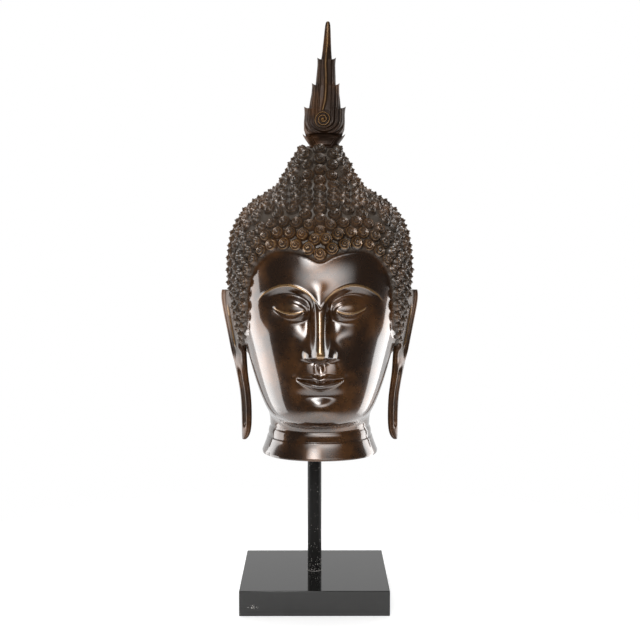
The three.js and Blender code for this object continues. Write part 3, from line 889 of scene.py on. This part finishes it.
# The side's outline: height in front, height at the side, half width, half depth.
flame_rows = [
    (0, 0, 14.4, 11.2), (1.2, 1.2, 15, 11.6), (3, 3, 14.8, 11), (5, 5.8, 16.8, 10.6), (7.6, 9.4, 19.4, 10.8),
    (10, 13.4, 21.9, 11.4), (11, 15.4, 22.5, 11.8), (11.6, 13.2, 20.2, 12), (12.7, 12, 18.6, 12.6),
    (15.2, 14.8, 19.6, 13.4), (20.3, 19.4, 21.2, 14.2), (28.4, 27.4, 21.5, 14.4), (35.5, 35.5, 21.1, 13.8),
    (39.6, 41.2, 21.5, 13.2), (40.8, 43.7, 22, 13), (41.4, 41.2, 18.4, 12.9), (42.4, 40, 16.9, 12.8),
    (49.8, 48.7, 15.9, 11.8), (56.9, 56.9, 14.6, 10.6), (63, 64.6, 14.2, 9.6), (65, 68.2, 14.5, 9.3),
    (65.8, 65.8, 11.6, 9.1), (66.8, 64.6, 10.6, 9), (75.1, 74.1, 10.1, 7.8), (85.3, 86.3, 9.3, 6.6),
    (90.4, 92, 9.5, 6), (91.8, 94.6, 9.8, 5.8), (92.6, 92.6, 6.8, 5.6), (93.6, 91.6, 5.7, 5.5),
    (101.5, 101.1, 4.7, 4.5), (111.7, 111.7, 3.9, 3.8), (122.4, 122.4, 3.2, 3.1), (128, 128, 2.7, 2.6),
    (130.8, 130.8, 2.1, 2), (132, 132, 1, 1),
]


def flame_field(x, height):
    """A distance that the chased lines follow: rings round the volute below, lines to the spike above."""
    body = np.interp(height, [volute_height, 42, 65, 91, 110, 130], [21.5, 21, 20, 18, 15, 12])
    spread = np.abs(x) * 21.5 / body
    drop = np.clip(volute_height - height, 0, None)
    return np.sqrt(spread**2 + (1.15 * drop) ** 2)


def flame_carving(x, height):
    """Height of the chasing on the front and the back, and how near the crest of a line each point is."""
    beside = x - volute_across
    field = flame_field(x, height)
    from_middle = np.hypot(beside, height - volute_height)
    wound = from_middle / 3.3 - np.arctan2(height - volute_height, beside) / (2 * np.pi)
    in_volute = 1 - step(from_middle, volute_radius - 0.8, volute_radius + 0.4)
    lines = np.cos(2 * np.pi * (field - volute_radius) / line_pitch)
    outside = step(field, 5, 7) * (1 - in_volute)
    crest = in_volute * np.cos(2 * np.pi * wound) + outside * lines
    ribs = rib_height * crest
    keel = 1.4 * hill(x, keel_at(height), 1.4) * step(height, volute_height + 6, volute_height + 10) * (
        1 - step(height, 96, 124))
    eye = 1.9 * cap(np.minimum((from_middle / 1.9) ** 2, 1))
    raised = 0.9 * (1 - step(from_middle, volute_radius - 2, volute_radius + 1.5))
    live = step(height, recess_top(x) - 1, recess_top(x) + 1) * (1 - step(height, 122, 128))
    return (ribs + keel + eye + raised) * live, np.clip(0.5 + 0.5 * crest, 0, 1) * live


def leaf_line(height):
    return np.interp(height, [0, 4, 8, 12, 16, 19], [7, 8.5, 11, 14.5, 19, 25])


half_turns = spaced([(0, 52, 54), (52, 90, 24), (90, 128, 20), (128, 180, 14)])
flame_turns = np.radians(np.concatenate([half_turns, [180], 360 - half_turns[:0:-1]]))
run = np.append(spaced([(0, 9, 72), (9, 14, 110), (14, len(flame_rows) - 1, 150)]), len(flame_rows) - 1)
rows = np.array(flame_rows)
spread_rows = np.stack([np.interp(run, np.arange(len(rows)), rows[:, k]) for k in range(4)], -1)
turns, row_at = np.meshgrid(flame_turns, np.arange(len(run)))
front_height, side_height, half_width, half_depth = np.moveaxis(spread_rows[row_at], -1, 0)
sine = np.sin(turns)
cosine = np.cos(turns)
flame_z = front_height + (side_height - front_height) * np.abs(sine) ** 8
flame_x = half_width * sine
flat = np.sign(cosine) * np.abs(cosine) ** 0.8
carving, crest = flame_carving(flame_x, flame_z)
cup = -2.4 * (1 - step(np.abs(flame_x), leaf_line(flame_z) - 1.6, leaf_line(flame_z) + 0.4)) * (
    step(flame_z, 1.5, 4) * (1 - step(flame_z, recess_top(flame_x) - 1.5, recess_top(flame_x) + 1)))
bead = 2.6 * cap(np.minimum((flame_x**2 + (flame_z - 2.6) ** 2) / 2.2, 1))
cup = cup + bead
facing = step(np.abs(cosine), 0.12, 0.5)
flame_y = -(half_depth * flat + np.sign(cosine) * (carving + cup) * facing)
flame_points = np.stack([flame_x + flame_lean * flame_z, flame_y, flame_z], -1)
flame, ring_of, column_of = shape_sphere(
    "flame", len(flame_turns), len(run), flame_points * mm + np.array(flame_foot),
)
bpy.ops.object.shade_smooth_by_angle(angle=math.radians(50))
keel_rub = hill(flame_x, keel_at(flame_z), 1.5) * step(flame_z, volute_height + 6, volute_height + 11)
from_volute = np.hypot(flame_x - volute_across, flame_z - volute_height)
eye_rub = hill(from_volute, 0, 1.8)
swirl_rub = 0.45 * crest**2 * (1 - step(from_volute, 8, 11))
paint(flame, "rub", (0.25 * crest**4 + swirl_rub + 0.6 * keel_rub + 0.9 * eye_rub)[ring_of, column_of])
paint(flame, "hollow", (0.12 * (1 - crest) * step(flame_z, 16, 20))[ring_of, column_of])
settle(flame, "flame", waxed_bronze("flame_bronze", matt=0.92, depth=0.9), "flame_finial")

# Studio
# A white paper floor in front of white paper. Tall soft boxes at both sides reach below the floor, a box and
# a wide sheet of lit paper stand in front, and one box hangs above. Each fades towards its edges, as cloth
# over a lamp does.
side_boxes_up = -0.32
side_boxes_tall = 2.25
side_boxes_fade = 0.07
floor_radius = 0.55


def soft_box(name, place, size, power, fade=0.5, target=(0, 0, 0.33)):
    bpy.ops.object.light_add(type="AREA", location=place)
    light = bpy.context.object
    light.name = name
    light.data.shape = "RECTANGLE"
    light.data.size, light.data.size_y = size
    light.data.energy = power
    light.rotation_mode = "QUATERNION"
    light.rotation_quaternion = (Vector(target) - Vector(place)).to_track_quat("-Z", "Y")
    light.visible_camera = False
    light.data.use_nodes = True
    nodes = Nodes(light.data.node_tree)
    on_cloth = nodes.node("NewGeometry", output="Parametric")
    glow = 1
    for axis in ("X", "Y"):
        along = nodes.node("SeparateXYZ", inputs={0: on_cloth}, output=axis)
        from_edge = 0.5 - nodes.node("Math", {"operation": "ABSOLUTE"}, {0: along - 0.5})
        glow = glow * nodes.rise(from_edge, 0, fade)
    nodes.plug(nodes.tree.nodes["Emission"].inputs["Strength"], glow)


def floor_paint():
    """White paper that glows, a little less near the block as a painted shadow, and fades out before its
    edge.
    """
    shader = Shader("floor_paint")
    x = shader.place("X")
    y = shader.place("Y")
    from_middle = (x * x + y * y) ** 0.5
    # painted shadow: near the block the floor's glow drops to nine tenths of its strength
    lit = shader.rise(from_middle, 0.1, 0.24)
    glow = shader.mix(lit, (0.9, 0.9, 0.9, 1), (1, 1, 1, 1))
    return shader.finish(
        Base_Color=(0.9, 0.9, 0.9, 1), Roughness=0.6, Emission_Color=glow, Emission_Strength=0.69,
        Alpha=shader.rise(from_middle, 0.54, 0.24),
    )


bpy.ops.object.select_all(action="DESELECT")
bpy.ops.mesh.primitive_circle_add(vertices=96, radius=floor_radius, fill_type="NGON")
floor = bpy.context.object
floor.name = "floor"
floor.data.materials.append(floor_paint())

for name, x, y, width, power in (("left_box", -2.35, 0.86, 2.3, 42), ("right_box", 2.12, 1.32, 1.5, 32)):
    size = (width, side_boxes_tall)
    soft_box(name, (x, y, side_boxes_up), size, power, side_boxes_fade, (0, 0, side_boxes_up))
soft_box("front_box", (-0.3, -1.65, 1.25), (1.0, 1.2), 50)
soft_box("front_paper", (0.2, -1.76, 0.62), (3.0, 0.9), 32)
soft_box("top_box", (0, 0.1, 1.9), (1.6, 1.6), 24)

world = bpy.data.worlds.new("studio")
bpy.context.scene.world = world
world.use_nodes = True
sky = Nodes(world.node_tree)
towards = sky.node("SeparateXYZ", inputs={0: sky.node("TexCoord")}, output="Y")
paper = sky.rise(towards, 0.2, 0.5, 0.05, 0.75)
seen = sky.node("LightPath")
sky.plug(sky.tree.nodes["Background"].inputs["Color"], (1, 1, 1, 1))
sky.plug(
    sky.tree.nodes["Background"].inputs["Strength"],
    sky.node("Math", {"operation": "MAXIMUM"}, {0: seen, 1: paper}),
)

camera_distance = 1.2839
camera_height = 0.4012
camera_pitch = 3.592
camera_pan = 0.26
focal_pixels = 1220
frame_shift = 25.6
image_side = 640
bpy.ops.object.camera_add(location=(0, -camera_distance, camera_height))
camera = bpy.context.object
camera.rotation_euler = (math.radians(90 - camera_pitch), 0, math.radians(-camera_pan))
camera.data.sensor_width = 36
camera.data.lens = focal_pixels / image_side * camera.data.sensor_width
camera.data.shift_y = -frame_shift / image_side
bpy.context.scene.camera = camera
bpy.context.scene.view_settings.view_transform = "Standard"
